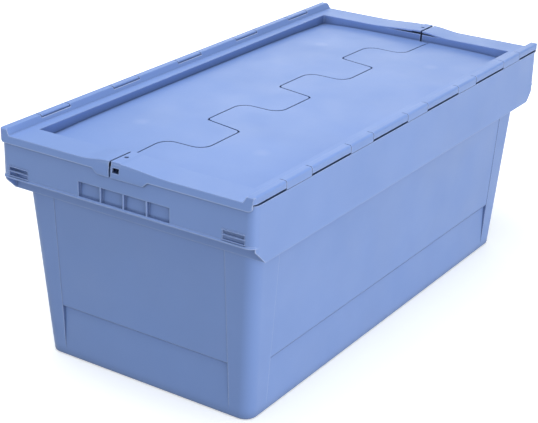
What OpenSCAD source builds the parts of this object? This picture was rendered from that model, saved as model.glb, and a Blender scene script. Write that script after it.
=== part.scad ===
// Nesting and stacking plastic container with a two-part hinged lid.
// X runs along the long side, Y along the short side, Z up.
// The origin is the middle of the base, on the face it stands on.

/* [Overall size] */
// Length over the lid's end skirts
overall_l = 796; // [780:2:820]
// Width over the side bands
overall_w = 400; // [390:5:420]
// Height of the top of the hinge ridges
overall_h = 334; // [326:1:346]

/* [Tub] */
// Length of the base
base_l = 704; // [680:2:706]
// Width of the base
base_w = 336; // [320:2:338]
// How far each end wall leans out, per unit of height
lean_x = 0.0624; // [0.05:0.0002:0.063]
// How far each long wall leans out, per unit of height
lean_y = 0.0663; // [0.05:0.0001:0.067]
// Wall thickness of the tub
wall_t = 3; // [2:0.25:4]
// Floor thickness
floor_t = 3.5; // [2.5:0.25:6]
// Plan radius of the tub's corners
tub_r = 18; // [12:1:24]
// Radius of the edge between floor and walls
foot_r = 3; // [2:0.5:6]
// Height of the lower wall panels
panel_h = 79; // [50:1:110]
// Half width of the panel on each end wall
end_panel_half = 137; // [100:1:140]
// Half width of the panel on each long wall
side_panel_half = 313; // [250:1:320]

/* [Rim band] */
// Thickness of the band and its ribs
band_t = 2.6; // [2:0.2:3.4]
// Height of the band's lower edge on the short ends
end_band_z = 266.5; // [262:0.5:268]
// Height of the band's lower edge on the long sides
side_band_z = 242; // [232:1:248]
// Plan radius of the band's corners
band_r = 12; // [8:1:16]
// Half width of the row of grip pockets
pocket_half = 73; // [60:1:76]
// Depth of the grip pockets at their top
pocket_d = 5.5; // [4:0.5:7]

/* [Lid] */
// Thickness of the lid halves
lid_t = 3; // [2.4:0.2:3.4]
// Length of the stacking recess
recess_l = 706; // [700:2:712]
// Width of the stacking recess
recess_w = 339; // [336:1:341]
// Height of the recess floor in its corners
panel_edge_z = 310; // [308:0.5:312]
// Height of the raised middle of the recess floor
panel_mid_z = 317; // [315:0.5:319]
// How far the end skirts hang below the lid's rim
skirt_drop = 10; // [8:0.5:13]
// How far the closing tabs hang below the lid's rim
tab_drop = 17; // [14:0.5:20]

/* [Lid seam] */
// Gap between the two lid halves
seam_gap = 2; // [1.6:0.1:2.4]
// How far the seam wanders to each side of the middle
seam_swing = 31.5; // [20:0.5:34]
// Distance between two changes of side along the seam
seam_pitch = 88.3; // [80:0.1:90]
// Offset of the seam where it crosses the end rims
seam_end_y = 15.3; // [14:0.1:18]
// Gap between the halves in the end rims and skirts
slot_gap = 3; // [2.4:0.1:3.4]
// Slant of the seam's tight crossings, at each end
seam_slant = 6; // [0:1:10]
// Radius of the seam's gentle bends
seam_soft_r = 19; // [12:1:24]
// Radius of the seam's tight bends
seam_tight_r = 7.5; // [3:0.5:9]

/* [Hinges] */
// Radius of the hinge rods
rod_r = 1.5; // [1.25:0.05:1.6]
// Radial clearance of the rods in the lid halves
rod_play = 0.08; // [0.03:0.01:0.1]
// Radius of the knuckles round the rods
knuckle_r = 3.4; // [3.2:0.1:3.6]
// Width of each knuckle on the container
knuckle_w = 56; // [40:1:70]
// Distance between knuckles
knuckle_pitch = 150; // [120:2:150]
// Gap at each end of a knuckle
knuckle_gap = 1; // [0.6:0.1:2]

/* [Hidden] */
plastic = [0.60, 0.69, 0.90];
lid_plastic = [0.64, 0.73, 0.93];
steel = [0.72, 0.73, 0.75];
reach = 60;                                // overrun of a cutting block

// Tub
panel_out = 0.6;                           // lower panels, outside the base's edge
field_d = 0.7;                             // depth of the fields above the panels
field_gap = 12;                            // from the top of the fields to the rim

// Heights
ridge_rise = 9;                            // hinge ridges, over the lid's rim
lid_gap = 0.3;                             // between the lid's rim and the container's
lid_z = overall_h - ridge_rise;            // top of the lid's rim
flange_z = lid_z - lid_t - lid_gap;        // top of the container's rim

// Rim band
skirt_t = 2.2;                             // thickness of the lid's end skirts
skirt_play = 0.3;                          // between the skirts and the band
end_lean = 0.15;                           // how far the lid's ends lean, per unit of height
band_l = overall_l - 2 * (skirt_t + skirt_play);
band_chamfer = end_band_z - side_band_z;
lip_h = 3;                                 // bead along the band's lower edge
lip_out = 1.8;
lip_edge = 1.2;                            // height of the bead's upright outer face
web_t = 2.2;                               // webs that tie the band to the tub
web_ys = [-130, -80, 80, 130];             // webs behind the short ends
pocket_y = -3.2;                           // middle of the row of pockets, at -X
pocket_top = 23;                           // top of the pockets over the band's edge
pocket_rib = 2.4;                          // ribs between the pockets
pocket_draft = 1.5;                        // how far the pockets' backs lean
pocket_wall = 2;                           // wall behind the pockets
fin_y = 170;                               // middle of the grip slots and fins
fin_w = 31;                                // width of the slots between the fins
fin_h = 4.4;
fin_zs = [6.8, 13.8];                      // middles of the slots, over the band's edge
fin_plate_zs = [3.9, 10.3, 16.7];          // middles of the fins beside the slots
fin_t = 1.4;
fin_out = 1.2;                             // how far the fins stand out from the band

// Hinges
hinge_y = overall_w / 2 - knuckle_r;       // hinge axis, from the middle
hinge_z = overall_h - knuckle_r;
knuckles = [-2, -1, 0, 1, 2];              // places of the knuckles, in pitches
rod_fit = 0.02;                            // radial clearance of the rods in the knuckles
foot_groove = 0.6;                         // groove along the outer foot of a knuckle
ridge_foot_y = overall_w / 2 - 16.5;       // inner foot of the ridge
ridge_top_y = overall_w / 2 - 9.5;         // inner edge of the ridge's flat top
ridge_under_z = lid_z - 0.7;               // underside of the ridge
ridge_l = overall_l - 2;                   // length over the ends of the ridges
ridge_end_r = 6;                           // round ends of the ridges, seen from the side
ridge_r = 3;                               // inner edge of the ridge's top
notch_y = overall_w / 2 - 13;              // inner edge of the ridge's notches
notch_h = 24;
knuckle_back_y = notch_y + 0.8;            // back of the knuckles
rod_inset = 7;                             // from the end of a ridge to the rod's end
bore_inset = 6;                            // from the closed end of a ridge to its bore

// Lid
lid_corner_r = 8;
recess_r = 3;                              // plan radius of the recess
rib_t = 2;                                 // ribs under the recess floor
rib_h = 10;
rib_pitch = 75;
skirt_r = 7;                               // lower corners of the skirts
tab_half = 36;                             // half width of the tab's lower edge
tab_slope = 8;                             // how far each side of the tab leans
seam_inset = 3;                            // from the recess's end walls to the seam's end runs
seam_end_r = 1.5;                          // bends of the seam there

// Closing pads, where the halves meet on the end rims
pad_h = 5;                                 // height over the rim
pad_step = 1;                              // how far it stands above the rim beside it
pad_foot_y = -2;                           // its inner edge, at -X
pad_foot_w = 2;                            // width of the step
near_slope = 80;                           // length of the slope up to the step
far_foot_y = 64;                           // foot of the slope on the other side
far_slope = 46;
seal_r = 3;                                // hole for a seal, in the pad
seal_x = 374;
seal_y = 7;
window_y = seal_y - 0.8;                   // window in the skirt for the seal's tail
window_w = 10.5;
window_h = 6.5;
window_down = 6.2;                         // from the lid's rim to the window's middle

// ---- outlines -------------------------------------------------------

// Points of an arc round c from angle a0 to a1, both ends included.
function arc(c, r, a0, a1, n = 8) =
  [for (i = [0:n]) c + r * [cos(a0 + (a1 - a0) * i / n), sin(a0 + (a1 - a0) * i / n)]];

// Plan outline of a rectangle with round corners.
function round_rect(l, w, r, n = 8) = [
  for (q = [0:3])
    let (sx = (q == 0 || q == 3) ? 1 : -1, sy = q < 2 ? 1 : -1)
      each arc([sx * (l / 2 - r), sy * (w / 2 - r)], r, 90 * q, 90 * q + 90, n)];

// A path through pts whose corners are rounded by the radii rs.
function rounded_path(pts, rs, n = 6) = [
  for (i = [0:len(pts) - 1])
    if (i == 0 || i == len(pts) - 1 || rs[i] == 0) pts[i]
    else
      let (a = pts[i - 1] - pts[i], b = pts[i + 1] - pts[i],
           ua = a / norm(a), ub = b / norm(b),
           half = acos(ua * ub) / 2, d = rs[i] / tan(half),
           c = pts[i] + (ua + ub) / norm(ua + ub) * rs[i] / sin(half),
           p = pts[i] + ua * d - c, q = pts[i] + ub * d - c,
           a0 = atan2(p.y, p.x), turn = atan2(p.x * q.y - p.y * q.x, p * q))
        each arc(c, rs[i], a0, a0 + turn, n)];

// Mean of a ring's points.
function middle(ring) = [for (axis = [0:2]) sum([for (p = ring) p[axis]]) / len(ring)];

// Sum of a list of numbers, from place i on.
function sum(v, i = 0) = i < len(v) ? v[i] + sum(v, i + 1) : 0;

// Solid through a stack of plan outlines with equal numbers of points. Each end is
// closed by triangles round its middle.
module loft(rings) {
  n = len(rings[0]);
  k = len(rings);
  top = (k - 1) * n;
  points = concat([for (ring = rings) each ring], [middle(rings[0]), middle(rings[k - 1])]);
  faces = [
    for (j = [0:k - 2], i = [0:n - 1])
      let (a = j * n + i, b = j * n + (i + 1) % n)
        each [[a, a + n, b + n], [a, b + n, b]],
    for (i = [0:n - 1]) [k * n, i, (i + 1) % n],
    for (i = [0:n - 1]) [k * n + 1, top + (i + 1) % n, top + i]];
  polyhedron(points = points, faces = faces);
}

// Lifts a plan outline to the height z.
function at_z(outline, z) = [for (p = outline) [p.x, p.y, z]];

// Tapered shell outline of the tub at height z, set in by t.
function tub_outline(z, t = 0) =
  round_rect(base_l + 2 * (lean_x * z - t), base_w + 2 * (lean_y * z - t), tub_r - t);

// Plate with a plan outline, from height z0 to z1.
module slab(outline, z0, z1) {
  translate([0, 0, z0]) linear_extrude(z1 - z0) polygon(outline);
}

// Draws its children, a view along X, as a slab from x0 to x1.
module along_x(x0, x1) {
  translate([x0, 0, 0]) rotate([90, 0, 90]) linear_extrude(x1 - x0) children();
}

// Draws its children, a view along Y, as a block of width w about the middle.
module along_y(w) {
  rotate([90, 0, 0]) linear_extrude(w, center = true) children();
}

// Repeats its children on the other end, turned half a turn.
module both_ends() {
  for (a = [0, 180]) rotate([0, 0, a]) children();
}

// ---- tub ------------------------------------------------------------

// The tub's outer face as a solid, up to the height top.
module tub_outside(top) {
  loft(concat(
    [for (a = [0:30:90])
      at_z(tub_outline(foot_r * (1 - cos(a)), foot_r * (1 - sin(a))), foot_r * (1 - cos(a)))],
    [at_z(tub_outline(top), top)]));
}

// Blocks outside the upright faces of the lower wall panels, grown by t.
module panel_cuts(t = 0) {
  end_x = base_l / 2 + panel_out - t;
  side_y = base_w / 2 + panel_out - t;
  for (s = [-1, 1]) {
    translate([s * (end_x + reach / 2), 0, panel_h / 2])
      cube([reach, 2 * (end_panel_half + t), panel_h + 2 * t], center = true);
    translate([0, s * (side_y + reach / 2), panel_h / 2])
      cube([2 * (side_panel_half + t), reach, panel_h + 2 * t], center = true);
  }
}

// Shallow fields over the panels, between the corner columns.
module wall_fields() {
  field_h = flange_z - field_gap - panel_h;
  for (s = [-1, 1]) {
    translate([s * (base_l / 2 + lean_x * panel_h), 0, panel_h])
      rotate([0, s * atan(lean_x), 0])
        translate([s * (reach / 2 - field_d), 0, field_h / 2])
          cube([reach, 2 * end_panel_half, field_h], center = true);
    translate([0, s * (base_w / 2 + lean_y * panel_h), panel_h])
      rotate([-s * atan(lean_y), 0, 0])
        translate([0, s * (reach / 2 - field_d), field_h / 2])
          cube([2 * side_panel_half, reach, field_h], center = true);
  }
}

// The tub filled solid, up to the height top.
module tub_skin(top) {
  difference() {
    tub_outside(top);
    panel_cuts();
    wall_fields();
  }
}

// The room inside the tub.
module tub_inside() {
  difference() {
    loft([at_z(tub_outline(floor_t, wall_t), floor_t),
          at_z(tub_outline(flange_z + 1, wall_t), flange_z + 1)]);
    panel_cuts(wall_t);
  }
}

module container_tub() {
  color(plastic)
    difference() {
      tub_skin(flange_z);
      tub_inside();
    }
}

// ---- rim band -------------------------------------------------------

// The band's outline seen from the long side, as a block across the width.
module band_side_view() {
  x0 = band_l / 2 + 1;
  x1 = band_l / 2 - band_chamfer;
  along_y(overall_w + 2)
    polygon([[-x0, end_band_z], [-band_l / 2, end_band_z], [-x1, side_band_z],
             [x1, side_band_z], [band_l / 2, end_band_z], [x0, end_band_z],
             [x0, flange_z], [-x0, flange_z]]);
}

// Upright wall of the band, lower along the long sides.
module band_wall() {
  intersection() {
    difference() {
      slab(round_rect(band_l, overall_w, band_r), side_band_z, flange_z);
      slab(round_rect(band_l - 2 * band_t, overall_w - 2 * band_t, band_r - band_t),
           side_band_z - 1, flange_z + 1);
      end_mouth();
    }
    band_side_view();
  }
}

// Room under the short ends, between the deeper bands of the long sides.
module end_mouth() {
  for (s = [-1, 1])
    translate([s * band_l / 2, 0, end_band_z - reach / 2])
      cube([2 * band_chamfer, overall_w - 2 * band_t, reach], center = true);
}

// Bead along the lower edge of the band, round the short ends and their corners.
module end_lips() {
  both_ends()
    difference() {
      intersection() {
        loft([at_z(round_rect(band_l + 2 * lip_out, overall_w, band_r), end_band_z),
              at_z(round_rect(band_l + 2 * lip_out, overall_w, band_r), end_band_z + lip_edge),
              at_z(round_rect(band_l, overall_w, band_r), end_band_z + lip_h)]);
        translate([-band_l / 2, 0, end_band_z])
          cube([2 * band_r, overall_w, 2 * lip_h], center = true);
      }
      slab(round_rect(band_l - 2 * band_t, overall_w - 2 * band_t, band_r - band_t),
           end_band_z - 1, end_band_z + lip_h + 1);
    }
}

// Rows of grip pockets on both ends, as cutting wedges.
module grip_pockets() {
  low_z = end_band_z + lip_h;
  top_z = end_band_z + pocket_top;
  cell_w = pocket_half / 2;
  front = -band_l / 2 - 2 * lip_out;
  back = -band_l / 2 + pocket_d;
  both_ends()
    for (i = [-1.5, -0.5, 0.5, 1.5])
      translate([0, pocket_y + i * cell_w, 0]) along_y(cell_w - pocket_rib)
        polygon([[front, low_z], [front, top_z], [back, top_z], [back - pocket_draft, low_z]]);
}

// Walls behind and beside the pockets.
module pocket_backs() {
  deep = pocket_d + pocket_wall;
  tall = pocket_top + pocket_wall;
  both_ends()
    translate([-band_l / 2 + deep / 2, pocket_y, end_band_z + tall / 2])
      cube([deep, 2 * pocket_half + pocket_wall, tall], center = true);
}

// Pairs of slots that leave grip fins by each corner of the short ends.
module fin_slots() {
  both_ends()
    for (t = [-1, 1], z = fin_zs)
      translate([-band_l / 2, t * fin_y, end_band_z + z])
        cube([2 * band_t, fin_w, fin_h], center = true);
}

// Thin fins above, between and below the slots.
module grip_fins() {
  depth = fin_out + band_t / 2;
  both_ends()
    for (t = [-1, 1], z = fin_plate_zs)
      translate([-band_l / 2 - fin_out + depth / 2, t * fin_y, end_band_z + z])
        cube([depth, fin_w + 2, fin_t], center = true);
}

// Notches through the rim, from the skirts' windows to the tub's wall, for a seal's strap.
module seal_notches() {
  notch_w = window_w + 1.5;
  low_z = lid_z - window_down - window_h / 2 - 0.5;
  depth = (band_l - base_l) / 2 + 1;
  both_ends()
    translate([-band_l / 2 - 1, window_y - notch_w / 2, low_z])
      cube([depth, notch_w, reach]);
}

// Webs that tie the band to the tub. The tub's own space is cut from them afterwards.
module band_webs() {
  corner_x = band_l / 2 - band_chamfer - web_t / 2;
  for (k = knuckles)
    web(k * knuckle_pitch, side_band_z + 2);
  for (s = [-1, 1])
    web(s * corner_x, side_band_z);
  for (y = web_ys)
    translate([0, y, (end_band_z + 2 + flange_z) / 2])
      cube([band_l - band_t, web_t, flange_z - end_band_z - 2], center = true);
}

// One web across the long bands at x, from the height low_z up.
module web(x, low_z) {
  translate([x, 0, (low_z + flange_z) / 2])
    cube([web_t, overall_w - band_t, flange_z - low_z], center = true);
}

// Top of the near hinge's cross-section, from its outer face to its inner slope.
function hinge_top() = concat(
  arc([-hinge_y, hinge_z], knuckle_r, 180, 90, 8),
  arc([-ridge_top_y, overall_h - ridge_r], ridge_r, 90, 40, 3));

// Cross-section of a near knuckle: the ridge's own, cut off upright at the back.
module knuckle_view() {
  w = overall_w / 2;
  low_z = flange_z - 1;
  groove_z = flange_z + foot_groove;
  top = hinge_top();
  edge = top[len(top) - 1];
  foot = [-ridge_foot_y, lid_z];
  back = edge + (foot - edge) * (-knuckle_back_y - edge.x) / (foot.x - edge.x);
  polygon(concat(
    [[-w + foot_groove, low_z], [-w + foot_groove, groove_z], [-w, groove_z]],
    top,
    [back, [back.x, low_z]]));
}

// Knuckles for the hinge rods, along both long sides of the rim.
module rod_knuckles() {
  both_ends()
    for (k = knuckles)
      along_x(k * knuckle_pitch - knuckle_w / 2, k * knuckle_pitch + knuckle_w / 2)
        knuckle_view();
}

// Bores for both hinge rods, right through.
module rod_bores(r) {
  for (s = [-1, 1])
    translate([0, s * hinge_y, hinge_z]) rotate([0, 90, 0])
      cylinder(r = r, h = overall_l, center = true, $fn = 32);
}

module container_rim() {
  color(plastic)
    difference() {
      union() {
        band_wall();
        slab(round_rect(band_l, overall_w, band_r), flange_z - band_t, flange_z);
        end_lips();
        grip_fins();
        pocket_backs();
        band_webs();
        rod_knuckles();
      }
      tub_skin(flange_z + 1);
      grip_pockets();
      fin_slots();
      seal_notches();
      rod_bores(rod_r + rod_fit);
    }
}

// ---- lid ------------------------------------------------------------

// Changes of side along the seam: even places turn tightly, odd ones gently.
function seam_corner(i, g) =
  let (tight = i % 2 == 0, x = i * seam_pitch + (tight ? g : -g) / 2,
       from = tight ? -seam_swing : seam_swing, slant = tight ? seam_slant : 0)
    [[x - slant, from - g / 2], [x + slant, -from - g / 2]];

// Plan outline of the near half: everything on the -Y side of the seam, which is g wide
// across the recess and e wide across the end rims.
function near_outline(g, e) =
  let (x_out = overall_l / 2 + reach, x_in = recess_l / 2 - seam_inset, y_out = -overall_w / 2 - reach,
       places = [-3:3],
       pts = concat(
         [[-x_out, y_out], [-x_out, seam_end_y - e / 2], [-x_in + g / 2, seam_end_y - e / 2],
          [-x_in + g / 2, seam_swing - g / 2]],
         [for (i = places) each seam_corner(i, g)],
         [[x_in + g / 2, -seam_swing - g / 2], [x_in + g / 2, -seam_end_y - e / 2],
          [x_out, -seam_end_y - e / 2], [x_out, y_out]]),
       radii = concat([0, 0, 0, seam_end_r],
         [for (i = places) each [seam_r(i), seam_r(i)]], [seam_end_r, 0, 0, 0]))
    rounded_path(pts, radii);

// Bend radius at the place i.
function seam_r(i) = i % 2 == 0 ? seam_tight_r : seam_soft_r;

// Smooth step from 0 to 1.
function ease(t) = let (u = max(0, min(1, t))) u * u * (3 - 2 * u);

// How far the rim of the -X end rises over the long strips, against y.
function rise(y) =
  y < pad_foot_y ? (pad_h - pad_step) * ease(1 + y / near_slope)
  : y < pad_foot_y + pad_foot_w ? pad_h - pad_step + pad_step * (y - pad_foot_y) / pad_foot_w
  : y <= seam_end_y ? pad_h
  : (pad_h - pad_step / 2) * ease((far_foot_y - y) / far_slope);

// Places where the rim's rise is worked out.
rise_steps = concat([-recess_w / 2 + 10],
                    [for (i = [0:12]) -near_slope + (near_slope + pad_foot_y) * i / 12],
                    [pad_foot_y + pad_foot_w, seam_end_y, seam_end_y + 0.1],
                    [for (i = [0:10]) far_foot_y + far_slope * (i / 10 - 1)],
                    [recess_w / 2 - 10]);

// Section of the rim of the -X end, w to each side of the middle.
module rim_section(w) {
  ys = concat([-w], rise_steps, [w]);
  polygon(concat([for (y = ys) [y, lid_z + rise(y)]],
                 [for (i = [len(ys) - 1:-1:0]) [ys[i], lid_z + rise(ys[i]) - lid_t]]));
}

// The skirt's outline with its closing tab, seen along X.
module skirt_view() {
  w = overall_w / 2 - 2;
  skirt_z = lid_z - skirt_drop;
  tab_z = lid_z - tab_drop;
  tab_top = tab_half + tab_slope;
  polygon(concat(
    arc([-w + skirt_r, skirt_z + skirt_r], skirt_r, 180, 270, 6),
    [[-tab_top, skirt_z], [-tab_half, tab_z], [tab_half, tab_z], [tab_top, skirt_z]],
    arc([w - skirt_r, skirt_z + skirt_r], skirt_r, 270, 360, 6),
    [[w, lid_z]],
    [for (i = [len(rise_steps) - 1:-1:0]) [rise_steps[i], lid_z + rise(rise_steps[i]) - 1]],
    [[-w, lid_z]]));
}

// Rims of both ends with their skirts.
module end_rims() {
  x_out = overall_l / 2;
  both_ends() {
    along_x(-x_out, -recess_l / 2) rim_section(overall_w / 2 - 10);
    along_x(-x_out, -x_out + skirt_t) skirt_view();
  }
}

// Cross-section of the near hinge ridge and the strip beside the recess.
module ridge_view() {
  w = overall_w / 2;
  polygon(concat(
    [[-w, ridge_under_z]],
    hinge_top(),
    [[-ridge_foot_y, lid_z], [-recess_w / 2, lid_z], [-recess_w / 2, lid_z - lid_t],
     [-ridge_foot_y - 2, lid_z - lid_t], [-ridge_foot_y - 4, ridge_under_z]]));
}

// Blocks where the ridge makes room for the container's knuckles.
module knuckle_notches() {
  for (k = knuckles)
    translate([k * knuckle_pitch, -overall_w / 2, hinge_z - 2])
      cube([knuckle_w + 2 * knuckle_gap, 2 * (overall_w / 2 - notch_y), notch_h],
           center = true);
}

// The near hinge ridge with its round ends and its notches.
module ridge() {
  x1 = ridge_l / 2;
  low_z = lid_z - lid_t - 1;
  difference() {
    intersection() {
      along_x(-x1, x1) ridge_view();
      along_y(overall_w)
        polygon(concat([[-x1, low_z], [x1, low_z]],
          arc([x1 - ridge_end_r, overall_h - ridge_end_r], ridge_end_r, 0, 90, 6),
          arc([-x1 + ridge_end_r, overall_h - ridge_end_r], ridge_end_r, 90, 180, 6)));
    }
    knuckle_notches();
  }
}

// Height of the crowned recess floor.
function crown_z(x, y) =
  let (u = 2 * x / recess_l, v = 2 * y / recess_w, drop = (panel_mid_z - panel_edge_z) / 2)
    panel_mid_z - drop * (pow(u, 4) + pow(v, 4));

// A rectangle's outline at scale k, with n points a side, lying on the crown.
function crown_ring(k, n, t) =
  let (a = recess_l / 2 + 1, b = recess_w / 2 + 1,
       corners = [[a, b], [-a, b], [-a, -b], [a, -b]])
    [for (q = [0:3], i = [0:n - 1])
      let (p = k * (corners[q] + (corners[(q + 1) % 4] - corners[q]) * i / n))
        [p.x, p.y, crown_z(p.x, p.y) - t]];

// Volume under the crowned recess floor, lowered by t.
module crown(t) {
  n = 8;
  foot = [for (p = crown_ring(1, n, t)) [p.x, p.y, panel_edge_z - t - 10]];
  loft(concat([foot], [for (k = [1, 0.93, 0.85, 0.75, 0.62, 0.45, 0.1]) crown_ring(k, n, t)]));
}

// Floor of the stacking recess.
module recess_floor() {
  difference() {
    intersection() {
      crown(0);
      slab(round_rect(recess_l + 2, recess_w + 2, recess_r + 1),
           panel_edge_z - lid_t, panel_mid_z);
    }
    crown(lid_t);
  }
}

// Walls of the stacking recess.
module recess_walls() {
  difference() {
    slab(round_rect(recess_l + 2 * lid_t, recess_w + 2 * lid_t, recess_r + lid_t),
         panel_edge_z - lid_t, lid_z - 1);
    slab(round_rect(recess_l, recess_w, recess_r), panel_edge_z - lid_t - 1, lid_z + 1);
  }
}

// Stiffening ribs under the near half of the recess floor.
module floor_ribs() {
  outer_y = -overall_w / 2 + 62;
  inner_y = -seam_swing - 8;
  half_l = 4 * rib_pitch;
  mid_z = panel_edge_z - lid_t - 1.5 + rib_h / 2;
  intersection() {
    crown(1);
    union() {
      for (x = [-half_l:rib_pitch:half_l])
        translate([x, (outer_y + inner_y) / 2, mid_z])
          cube([rib_t, inner_y - outer_y, rib_h], center = true);
      for (y = [outer_y, (outer_y + inner_y) / 2, inner_y])
        translate([0, y, mid_z]) cube([2 * half_l + rib_t, rib_t, rib_h], center = true);
    }
  }
}

// Block whose ends lean in towards the top, from the skirts' lower edge up.
module leaning_ends() {
  x = overall_l / 2;
  skirt_z = lid_z - skirt_drop;
  top_z = overall_h + 1;
  top_x = x - end_lean * (top_z - skirt_z);
  along_y(overall_w + 2)
    polygon([[-x, 0], [x, 0], [x, skirt_z], [top_x, top_z], [-top_x, top_z], [-x, skirt_z]]);
}

// The near half of the lid, without its rod's bore. Both halves have this shape.
module lid_half() {
  difference() {
    intersection() {
      union() {
        end_rims();
        ridge();
        recess_floor();
        recess_walls();
        floor_ribs();
      }
      slab(near_outline(seam_gap, slot_gap), 0, overall_h + 1);
      slab(round_rect(overall_l, overall_w, lid_corner_r), 0, overall_h + 1);
      leaning_ends();
    }
    // hole for a seal through the closing pad, and its window in the skirt
    translate([-seal_x, seal_y, lid_z])
      cylinder(r = seal_r, h = 3 * pad_h, center = true, $fn = 32);
    translate([-overall_l / 2, window_y, lid_z - window_down])
      cube([3 * skirt_t, window_w, window_h], center = true);
  }
}

// Bore for a hinge rod at y, closed at the -X end.
module lid_bore(y) {
  translate([-ridge_l / 2 + bore_inset, y, hinge_z]) rotate([0, 90, 0])
    cylinder(r = rod_r + rod_play, h = overall_l, $fn = 32);
}

module lid_half_near() {
  color(lid_plastic)
    difference() {
      lid_half();
      lid_bore(-hinge_y);
    }
}

module lid_half_far() {
  color(lid_plastic)
    difference() {
      rotate([0, 0, 180]) lid_half();
      lid_bore(hinge_y);
    }
}

// ---- hinge rods -----------------------------------------------------

module hinge_rod() {
  rod_l = ridge_l - 2 * rod_inset;
  color(steel)
    translate([-rod_l / 2, -hinge_y, hinge_z]) rotate([0, 90, 0])
      cylinder(r = rod_r, h = rod_l, $fn = 32);
}

module hinge_rod_near() {
  hinge_rod();
}

module hinge_rod_far() {
  rotate([0, 0, 180]) hinge_rod();
}

container_tub();
container_rim();
lid_half_near();
lid_half_far();
hinge_rod_near();
hinge_rod_far();
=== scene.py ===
"""Looks of a nesting container with a two-part hinged lid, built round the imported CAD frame."""

import math

import bmesh
import bpy
import numpy as np
from mathutils import Matrix, Vector


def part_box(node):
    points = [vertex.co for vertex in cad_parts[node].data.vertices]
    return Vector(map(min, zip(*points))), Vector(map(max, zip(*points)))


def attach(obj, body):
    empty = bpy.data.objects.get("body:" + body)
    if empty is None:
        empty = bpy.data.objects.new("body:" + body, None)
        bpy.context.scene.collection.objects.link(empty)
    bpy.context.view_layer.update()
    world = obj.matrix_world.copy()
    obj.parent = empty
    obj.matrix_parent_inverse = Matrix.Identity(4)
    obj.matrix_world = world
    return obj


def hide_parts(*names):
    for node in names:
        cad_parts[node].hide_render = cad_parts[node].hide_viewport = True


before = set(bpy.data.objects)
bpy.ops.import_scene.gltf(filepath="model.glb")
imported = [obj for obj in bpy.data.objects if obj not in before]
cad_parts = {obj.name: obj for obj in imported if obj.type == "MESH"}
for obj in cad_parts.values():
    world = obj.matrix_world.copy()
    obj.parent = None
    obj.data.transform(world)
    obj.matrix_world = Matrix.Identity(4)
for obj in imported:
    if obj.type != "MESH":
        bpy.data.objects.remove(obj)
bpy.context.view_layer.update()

MM = 0.001

# ---- camera ---------------------------------------------------------

CAMERA_PLACE = Vector((-1.6734, -1.0542, 0.9763))
CAMERA_AZIMUTH = -56.84  # degrees, 0 looks along +Y
CAMERA_ELEVATION = 23.19
CAMERA_ROLL = 1.42
LENS_MM = 96.78
SENSOR_MM = 36
CLIP_END_M = 50


def make_camera():
    az, el = math.radians(CAMERA_AZIMUTH), math.radians(CAMERA_ELEVATION)
    look = Vector((-math.sin(az) * math.cos(el), math.cos(az) * math.cos(el), -math.sin(el)))
    level = look.to_track_quat("-Z", "Y").to_matrix()
    turn = Matrix.Rotation(math.radians(CAMERA_ROLL), 3, "Z")
    cam = bpy.data.objects.new("camera", bpy.data.cameras.new("camera"))
    cam.data.lens = LENS_MM
    cam.data.sensor_width = SENSOR_MM
    cam.data.clip_end = CLIP_END_M
    cam.matrix_world = Matrix.Translation(CAMERA_PLACE) @ (level @ turn).to_4x4()
    bpy.context.scene.collection.objects.link(cam)
    bpy.context.scene.camera = cam


# ---- shapes ---------------------------------------------------------

EDGE_MM = 0.7  # rounding of the moulded edges
EDGE_SEGMENTS = 3
SHARP_DEG = 28  # edges sharper than this are rounded
FLAT_DEG = 2  # edges flatter than this are dissolved
WELD_M = 2e-5
PLANE_M = 3e-6  # faces whose corners lie this close to one plane become one face
ROOM_SAMPLES = (0.1, 0.5, 0.9)  # places along an edge where its room is measured
ROOM_SHARE = 0.42  # of a face's width that the rounding of one edge may take
RUN_ON = 0.85  # cosine of the bend up to which an edge runs on
TINY = 1e-6  # metres that count as nothing


def find_planes(bm, plane_of):
    """Numbers the faces by the plane they lie in, starting from the largest."""
    for face in bm.faces:
        face[plane_of] = -1
    for number, seed in enumerate(sorted(bm.faces, key=lambda f: -f.calc_area())):
        if seed[plane_of] >= 0:
            continue
        seed[plane_of] = number
        stack = [seed]
        while stack:
            for edge in stack.pop().edges:
                for face in edge.link_faces:
                    offsets = ((v.co - seed.verts[0].co).dot(seed.normal) for v in face.verts)
                    if face[plane_of] < 0 and all(abs(off) < PLANE_M for off in offsets):
                        face[plane_of] = number
                        stack.append(face)


def border_loops(faces):
    """The closed borders of a patch of faces, as lists of vertices."""
    patch = set(faces)
    ways = {}
    for edge in sorted({e for f in faces for e in f.edges}, key=lambda e: e.index):
        if sum(f in patch for f in edge.link_faces) == 1:
            for v in edge.verts:
                ways.setdefault(v, []).append(edge.other_vert(v))
    loops = []
    while ways:
        start = next(iter(ways))
        loop, stack = [], [start]
        while stack:
            v = stack.pop()
            if v in ways:
                loop.append(v)
                stack.extend(ways.pop(v))
        loops.append(loop)
    return loops


def span(verts):
    low = Vector([min(v.co[i] for v in verts) for i in range(3)])
    high = Vector([max(v.co[i] for v in verts) for i in range(3)])
    return low, high


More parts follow.
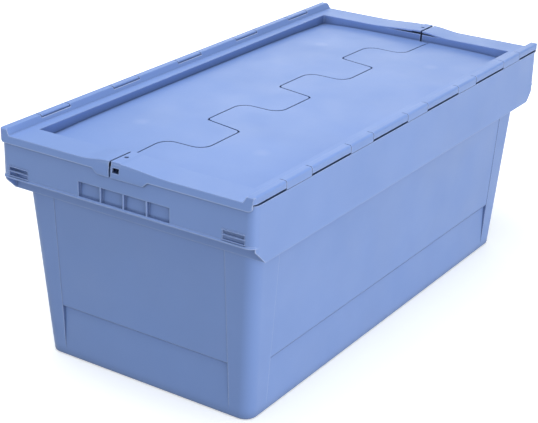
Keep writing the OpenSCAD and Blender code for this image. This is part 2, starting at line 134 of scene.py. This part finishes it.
def merge_flat(bm):
    """Makes one face of the faces in each plane, cut through the middle of every hole."""
    plane_of = bm.faces.layers.int.new("plane")
    find_planes(bm, plane_of)
    patches = {}
    for face in bm.faces:
        patches.setdefault(face[plane_of], []).append(face)
    cuts_of = {}
    for number, faces in patches.items():
        bm.edges.index_update()
        loops = [span(loop) for loop in border_loops(faces)]
        if len(loops) < 2:
            continue
        loops.sort(key=lambda box: -(box[1] - box[0]).length)
        size = loops[0][1] - loops[0][0]
        axis = max(range(3), key=lambda i: size[i])
        cuts_of[number] = (axis, sorted({round((low[axis] + high[axis]) / 2, 5)
                                         for low, high in loops[1:]}))
    for number, (axis, cuts) in cuts_of.items():
        along = Vector([float(i == axis) for i in range(3)])
        for cut in cuts:
            faces = [f for f in bm.faces if f[plane_of] == number]
            edges = list({e for f in faces for e in f.edges})
            verts = list({v for f in faces for v in f.verts})
            bmesh.ops.bisect_plane(bm, geom=verts + edges + faces, dist=TINY,
                                   plane_co=along * cut, plane_no=along)
    cells = {}
    for face in bm.faces:
        axis, cuts = cuts_of.get(face[plane_of], (0, ()))
        middle = face.calc_center_median()[axis]
        cell = (face[plane_of], sum(middle > cut for cut in cuts))
        face.material_index = cells.setdefault(cell, len(cells))
    bmesh.ops.dissolve_limit(
        bm, angle_limit=math.radians(FLAT_DEG), use_dissolve_boundaries=False,
        verts=bm.verts, edges=bm.edges, delimit={"MATERIAL"})
    for face in bm.faces:
        face.material_index = 0


def room_beside(face):
    """How far a face reaches inwards from each of its edges, in metres."""
    normal = face.normal
    right = normal.orthogonal().normalized()
    up = normal.cross(right)
    start = np.array([(v.co.dot(right), v.co.dot(up)) for v in face.verts])
    way = np.roll(start, -1, axis=0) - start
    length = np.linalg.norm(way, axis=1) + 1e-12
    inward = np.stack([-way[:, 1], way[:, 0]], axis=1) / length[:, None]
    room = np.full(len(start), 1.0)
    for i in range(len(start)):
        cross = inward[i, 0] * way[:, 1] - inward[i, 1] * way[:, 0]
        cross[np.abs(cross) < 1e-9] = np.inf
        for part in ROOM_SAMPLES:
            gap = start - (start[i] + way[i] * part)
            far = (gap[:, 0] * way[:, 1] - gap[:, 1] * way[:, 0]) / cross
            along = (gap[:, 0] * inward[i, 1] - gap[:, 1] * inward[i, 0]) / cross
            hits = far[(far > TINY) & (along > -0.001) & (along < 1.001)]
            if len(hits):
                room[i] = min(room[i], hits.min())
    return room


def edge_widths(bm):
    """The share of the full rounding that each sharp edge has room for."""
    share = {}
    for edge in bm.edges:
        if edge.calc_face_angle(0) > math.radians(SHARP_DEG):
            share[edge] = 1.0
    for face in bm.faces:
        if any(edge in share for edge in face.edges):
            for loop, room in zip(face.loops, room_beside(face)):
                if loop.edge in share:
                    fit_width = ROOM_SHARE * room / (EDGE_MM * MM)
                    share[loop.edge] = min(share[loop.edge], fit_width)
    todo = sorted(share, key=lambda e: share[e])
    done = set()
    for first in todo:  # an edge that runs on past a corner keeps the width before it
        if first in done:
            continue
        done.add(first)
        stack = [first]
        while stack:
            edge = stack.pop()
            way = (edge.verts[1].co - edge.verts[0].co).normalized()
            for v in edge.verts:
                for other in v.link_edges:
                    if other in share and other not in done:
                        on = (other.verts[1].co - other.verts[0].co).normalized()
                        if abs(way.dot(on)) > RUN_ON:
                            done.add(other)
                            share[other] = share[first]
                            stack.append(other)
    return share


def softened(node):
    """A copy of a CAD node's mesh with its edges rounded, as a mould leaves them."""
    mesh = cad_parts[node].data.copy()
    bm = bmesh.new()
    bm.from_mesh(mesh)
    bmesh.ops.remove_doubles(bm, verts=bm.verts, dist=WELD_M)
    merge_flat(bm)
    for face in bm.faces:
        face.smooth = True
    weight = bm.edges.layers.float.new("bevel_weight_edge")
    for edge, share in edge_widths(bm).items():
        edge[weight] = share
    bm.to_mesh(mesh)
    bm.free()
    mesh.materials.clear()
    piece = bpy.data.objects.new(node + "_moulding", mesh)
    bpy.context.scene.collection.objects.link(piece)
    bevel = piece.modifiers.new("round", "BEVEL")
    bevel.width = EDGE_MM * MM
    bevel.segments = EDGE_SEGMENTS
    bevel.limit_method = "WEIGHT"
    bevel.use_clamp_overlap = False
    bevel.miter_outer = "MITER_SHARP"
    weighted = piece.modifiers.new("normals", "WEIGHTED_NORMAL")
    weighted.keep_sharp = True
    return piece


ROD_SIDES = 40
ROD_CHAMFER = 0.5 * MM


def rod(node):
    """A drawn steel rod with chamfered ends, in the place of its CAD node."""
    low, high = (Vector(corner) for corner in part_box(node))
    mid = (low + high) / 2
    radius = (high.z - low.z) / 2
    rings = [(low.x, radius - ROD_CHAMFER), (low.x + ROD_CHAMFER, radius),
             (high.x - ROD_CHAMFER, radius), (high.x, radius - ROD_CHAMFER)]
    bm = bmesh.new()
    loops = []
    for x, r in rings:
        turns = (2 * math.pi * i / ROD_SIDES for i in range(ROD_SIDES))
        loops.append([bm.verts.new((x, mid.y + r * math.cos(a), mid.z + r * math.sin(a)))
                      for a in turns])
    for a, b in zip(loops, loops[1:]):
        for i in range(ROD_SIDES):
            j = (i + 1) % ROD_SIDES
            bm.faces.new((a[i], a[j], b[j], b[i])).smooth = True
    bm.faces.new(loops[0][::-1])
    bm.faces.new(loops[-1])
    bmesh.ops.recalc_face_normals(bm, faces=bm.faces)
    for edge in bm.edges:
        edge.smooth = edge.calc_face_angle(0) < math.radians(SHARP_DEG)
    mesh = bpy.data.meshes.new(node + "_bar")
    bm.to_mesh(mesh)
    bm.free()
    piece = bpy.data.objects.new(node + "_bar", mesh)
    bpy.context.scene.collection.objects.link(piece)
    return piece


# ---- materials ------------------------------------------------------


class Nodes:
    """A material's node tree, with short calls for the nodes used here."""

    def __init__(self, name):
        self.material = bpy.data.materials.new(name)
        self.material.use_nodes = True
        self.tree = self.material.node_tree
        self.shader = self.tree.nodes["Principled BSDF"]

    def add(self, kind, inputs=(), **settings):
        node = self.tree.nodes.new("ShaderNode" + kind)
        for key, value in settings.items():
            setattr(node, key, value)
        for socket, value in dict(inputs).items():
            self.feed(node.inputs[socket], value)
        return node

    def feed(self, socket, value):
        if isinstance(value, bpy.types.NodeSocket):
            self.tree.links.new(value, socket)
        else:
            socket.default_value = value

    def place(self):
        return self.add("TexCoord").outputs["Object"]

    def noise(self, place, scale, detail=2.0, roughness=0.5):
        return self.add("TexNoise", {"Vector": place, "Scale": scale, "Detail": detail,
                                     "Roughness": roughness}).outputs["Fac"]

    def stretched(self, place, scale):
        return self.add("Mapping", {"Vector": place, "Scale": scale}).outputs["Vector"]

    def spread(self, value, low, high, to_low=0.0, to_high=1.0):
        """Maps low..high of a value to to_low..to_high, clamped."""
        return self.add("MapRange", {"Value": value, "From Min": low, "From Max": high,
                                     "To Min": to_low, "To Max": to_high}).outputs["Result"]

    def math(self, operation, a, b):
        return self.add("Math", {0: a, 1: b}, operation=operation).outputs["Value"]

    def mix(self, amount, a, b):
        node = self.add("Mix", data_type="RGBA")
        self.feed(node.inputs["Factor"], amount)
        self.feed(node.inputs[6], a)
        self.feed(node.inputs[7], b)
        return node.outputs[2]

    def near_edges(self, radius):
        """1 along edges of the shape, 0 on its faces and on level tops."""
        soft = self.add("Bevel", {"Radius": radius}, samples=6).outputs["Normal"]
        face = self.add("NewGeometry").outputs["Normal"]
        same = self.add("VectorMath", {0: soft, 1: face}, operation="DOT_PRODUCT")
        upright = self.add("SeparateXYZ", {0: face}).outputs["Z"]
        return self.math("MULTIPLY", self.spread(same.outputs["Value"], 0.998, 0.9),
                         self.spread(upright, 0.98, 0.75))

    def open_sky(self, reach):
        """1 on open faces, falling towards 0 in creases and gaps."""
        return self.add("AmbientOcclusion", {"Distance": reach}, samples=8).outputs["AO"]

    def rings(self, place, spots):
        """Distance from the nearest of the spots at (+-x, +-y), seen from above."""
        folded = self.add("VectorMath", {0: place}, operation="ABSOLUTE").outputs["Vector"]
        flat = self.add("VectorMath", {0: folded, 1: (1, 1, 0)}, operation="MULTIPLY")
        return self.add("VectorMath", {0: flat.outputs["Vector"], 1: (*spots, 0)},
                        operation="DISTANCE").outputs["Value"]

    def bump(self, height, distance, strength=1.0, under=None):
        inputs = {"Height": height, "Distance": distance, "Strength": strength}
        if under is not None:
            inputs["Normal"] = under
        return self.add("Bump", inputs).outputs["Normal"]


def tinted(colour, amount):
    """The colour scaled by amount, as RGBA."""
    return (*(min(1.0, c * amount) for c in colour), 1)


def paled(colour, amount):
    """The colour moved towards white by amount, as RGBA."""
    return (*(c + (1 - c) * amount for c in colour), 1)


GRAIN_SCALE = 1400  # noise scales are per metre
DRIFT_SCALE = 16
CLOUD_SCALE = 7
WAVE_SCALE = 22
SCUFF_SCALE = (260, 260, 900)
EDGE_REACH = 2.2 * MM  # how far from an edge the painted highlight and wear reach
CREASE_REACH = 3.5 * MM
HOLLOW_REACH = 25 * MM
GRAIN_DEPTH = 0.06 * MM
WAVE_DEPTH = 0.5 * MM
GATE_SPOTS = (0.230, 0.098)  # where each lid half was fed with plastic, from the middle
GATE_RADIUS = 0.014
GATE_RIPPLE = 1500  # radians of ripple per metre
PLASTIC_IOR = 1.49


def plastic(name, colour, gloss, gates=False):
    """Satin moulded plastic: fine grain, slow drifts of colour and gloss, scuffed edges with a
    painted highlight along them, painted shade in creases and hollows, and, with gates, a painted
    sheen round each gate.
    """
    n = Nodes(name)
    place = n.place()
    clouds = n.spread(n.noise(place, CLOUD_SCALE, 3), 0.3, 0.7)
    grain = n.noise(place, GRAIN_SCALE, 2)
    scuffs = n.noise(n.stretched(place, SCUFF_SCALE), 1, 4, 0.65)
    edges = n.near_edges(EDGE_REACH)
    sky = n.open_sky(CREASE_REACH)
    hollow = n.open_sky(HOLLOW_REACH)
    # Paler along convex edges: a painted highlight, broken up by scuffs as wear and kept out of
    # creases.
    edge_highlight_and_wear = n.math("MULTIPLY", edges, n.spread(scuffs, 0.2, 0.5, 0.45, 1.0))
    edge_highlight_and_wear = n.math("MULTIPLY", edge_highlight_and_wear, n.spread(sky, 0.70, 0.92))
    body = n.mix(clouds, tinted(colour, 0.965), tinted(colour, 1.03))
    specks = n.spread(grain, 0.3, 0.7)
    body = n.mix(n.math("MULTIPLY", specks, 0.35), body, tinted(colour, 0.93))
    # Painted shade: the colour darkens in hollows and creases, where the ambient occlusion is
    # low.
    body = n.mix(n.spread(hollow, 0.80, 0.25), body, tinted(colour, 0.40))
    body = n.mix(n.spread(sky, 0.95, 0.45), body, tinted(colour, 0.45))
    height = n.noise(place, WAVE_SCALE, 1)
    if gates:
        off = n.rings(place, GATE_SPOTS)
        near = n.spread(off, GATE_RADIUS, 0.3 * GATE_RADIUS)
        # Painted sheen: the colour is paler round each gate; the ripple in the bump is real.
        body = n.mix(n.math("MULTIPLY", near, 0.5), body, paled(colour, 0.10))
        ripple = n.math("MULTIPLY", n.math("SINE", n.math("MULTIPLY", off, GATE_RIPPLE), 0), near)
        height = n.math("ADD", height, n.math("MULTIPLY", ripple, 0.12))
    # Base colour moves towards a paler blue along the edges: painted highlight, partly wear.
    n.feed(n.shader.inputs["Base Color"], n.mix(n.math("MULTIPLY", edge_highlight_and_wear, 0.9), body,
                                                paled(colour, 0.32)))
    drift = n.spread(n.noise(place, DRIFT_SCALE, 3), 0.3, 0.7, gloss - 0.05, gloss + 0.06)
    rough = n.math("ADD", drift, n.math("MULTIPLY", scuffs, 0.08))
    n.feed(n.shader.inputs["Roughness"], n.math("ADD", rough, n.math("MULTIPLY", edge_highlight_and_wear, 0.12)))
    waves = n.bump(height, WAVE_DEPTH, 0.35)
    n.feed(n.shader.inputs["Normal"], n.bump(grain, GRAIN_DEPTH, 0.55, waves))
    n.shader.inputs["IOR"].default_value = PLASTIC_IOR
    return n.material


LINE_SCALE = (30, 2600, 2600)  # long along the rod, fine across it
STAIN_SCALE = 60
LINE_DEPTH = 0.03 * MM


def brushed_steel(name):
    """Drawn steel: fine lines along the rod, with a little dull colour between them."""
    n = Nodes(name)
    place = n.place()
    lines = n.noise(n.stretched(place, LINE_SCALE), 1, 3, 0.6)
    stains = n.spread(n.noise(place, STAIN_SCALE, 4), 0.45, 0.75)
    bright = n.mix(lines, (0.50, 0.51, 0.53, 1), (0.68, 0.69, 0.71, 1))
    n.feed(n.shader.inputs["Base Color"], n.mix(n.math("MULTIPLY", stains, 0.4), bright,
                                                (0.38, 0.36, 0.34, 1)))
    n.feed(n.shader.inputs["Roughness"], n.spread(lines, 0.3, 0.7, 0.24, 0.42))
    n.feed(n.shader.inputs["Normal"], n.bump(lines, LINE_DEPTH, 0.5))
    n.shader.inputs["Metallic"].default_value = 1
    return n.material


FLOOR_GLOW = 0.46
FLOOR_FAR_GLOW = 1.0
FLOOR_REACH_M = (0.5, 1.8)  # distances between which the floor's glow rises


def floor_paint(name):
    """Plain white studio floor that glows to read as a white ground; its glow is weaker near the
    container, a painted soft shadow round it.
    """
    n = Nodes(name)
    place = n.place()
    n.feed(n.shader.inputs["Base Color"], n.mix(n.noise(place, 3, 2), (0.80, 0.80, 0.80, 1),
                                                (0.84, 0.84, 0.84, 1)))
    n.feed(n.shader.inputs["Roughness"], n.spread(n.noise(place, 9, 2), 0.3, 0.7, 0.7, 0.8))
    n.shader.inputs["Specular IOR Level"].default_value = 0.1
    n.shader.inputs["Emission Color"].default_value = (1, 1, 1, 1)
    # Painted shadow: the glow is weakest near the container and rises to full between the
    # FLOOR_REACH_M distances.
    away = n.add("VectorMath", {0: place}, operation="LENGTH").outputs["Value"]
    n.feed(n.shader.inputs["Emission Strength"],
           n.spread(away, *FLOOR_REACH_M, FLOOR_GLOW, FLOOR_FAR_GLOW))
    return n.material


# ---- light and floor ------------------------------------------------

WORLD_LIGHT = 0.43
WORLD_TINT = (0.82, 0.94, 1.0, 1)
FLOOR_SIZE_M = 30
FLOOR_DROP = 0.5 * MM  # keeps the floor clear of the base
AIM = Vector((0, 0, 0.25))  # the point every lamp faces


def make_stage():
    world = bpy.data.worlds.new("studio")
    bpy.context.scene.world = world
    world.use_nodes = True
    background = world.node_tree.nodes["Background"]
    background.inputs["Color"].default_value = WORLD_TINT
    background.inputs["Strength"].default_value = WORLD_LIGHT
    bpy.ops.mesh.primitive_plane_add(size=FLOOR_SIZE_M, location=(0, 0, -FLOOR_DROP))
    floor = bpy.context.object
    floor.name = "floor"
    floor.data.materials.append(floor_paint("floor_paint"))
    floor.visible_diffuse = False  # the world's light fills the shadows, not the white floor


def soft_lamp(name, place, size, radiance):
    """An area lamp of a given radiance, aimed at the container."""
    lamp = bpy.data.lights.new(name, "AREA")
    lamp.shape = "RECTANGLE"
    lamp.size, lamp.size_y = size
    lamp.energy = radiance * math.pi * size[0] * size[1]
    obj = bpy.data.objects.new(name, lamp)
    obj.location = place
    aim = AIM - Vector(place)
    obj.rotation_euler = aim.to_track_quat("-Z", "Y").to_euler()
    bpy.context.scene.collection.objects.link(obj)


make_camera()
make_stage()
# name, place and size in metres, radiance
soft_lamp("overhead", (-0.35, 0.15, 2.1), (2.3, 1.2), 3.6)
soft_lamp("backdrop", (2.5, 0.9, 1.1), (2.4, 1.2), 1.5)
soft_lamp("front", (-2.3, -1.7, 1.8), (1.3, 1.1), 3.2)
soft_lamp("low", (-0.3, -2.3, 0.18), (3.0, 0.30), 9.4)

BLUE = (0.198, 0.308, 0.645)
GLOSS = 0.40  # the plastic's mean roughness before scuffs and wear are added
MOULDINGS = {
    "container_tub": ("container", "blue_plastic"),
    "container_rim": ("container", "blue_plastic"),
    "lid_half_near": ("lid_near", "lid_plastic"),
    "lid_half_far": ("lid_far", "lid_plastic"),
}
RODS = ("hinge_rod_near", "hinge_rod_far")

finishes = {
    "blue_plastic": plastic("blue_plastic", BLUE, GLOSS),
    "lid_plastic": plastic("lid_plastic", BLUE, GLOSS, gates=True),
    "rod_steel": brushed_steel("rod_steel"),
}


def fit(piece, node, body, slot):
    piece.data.materials.append(finishes[slot])
    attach(piece, body)
    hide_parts(node)


for node, (body, slot) in MOULDINGS.items():
    fit(softened(node), node, body, slot)
for node in RODS:
    fit(rod(node), node, "container", "rod_steel")

bpy.context.scene.view_settings.view_transform = "Standard"
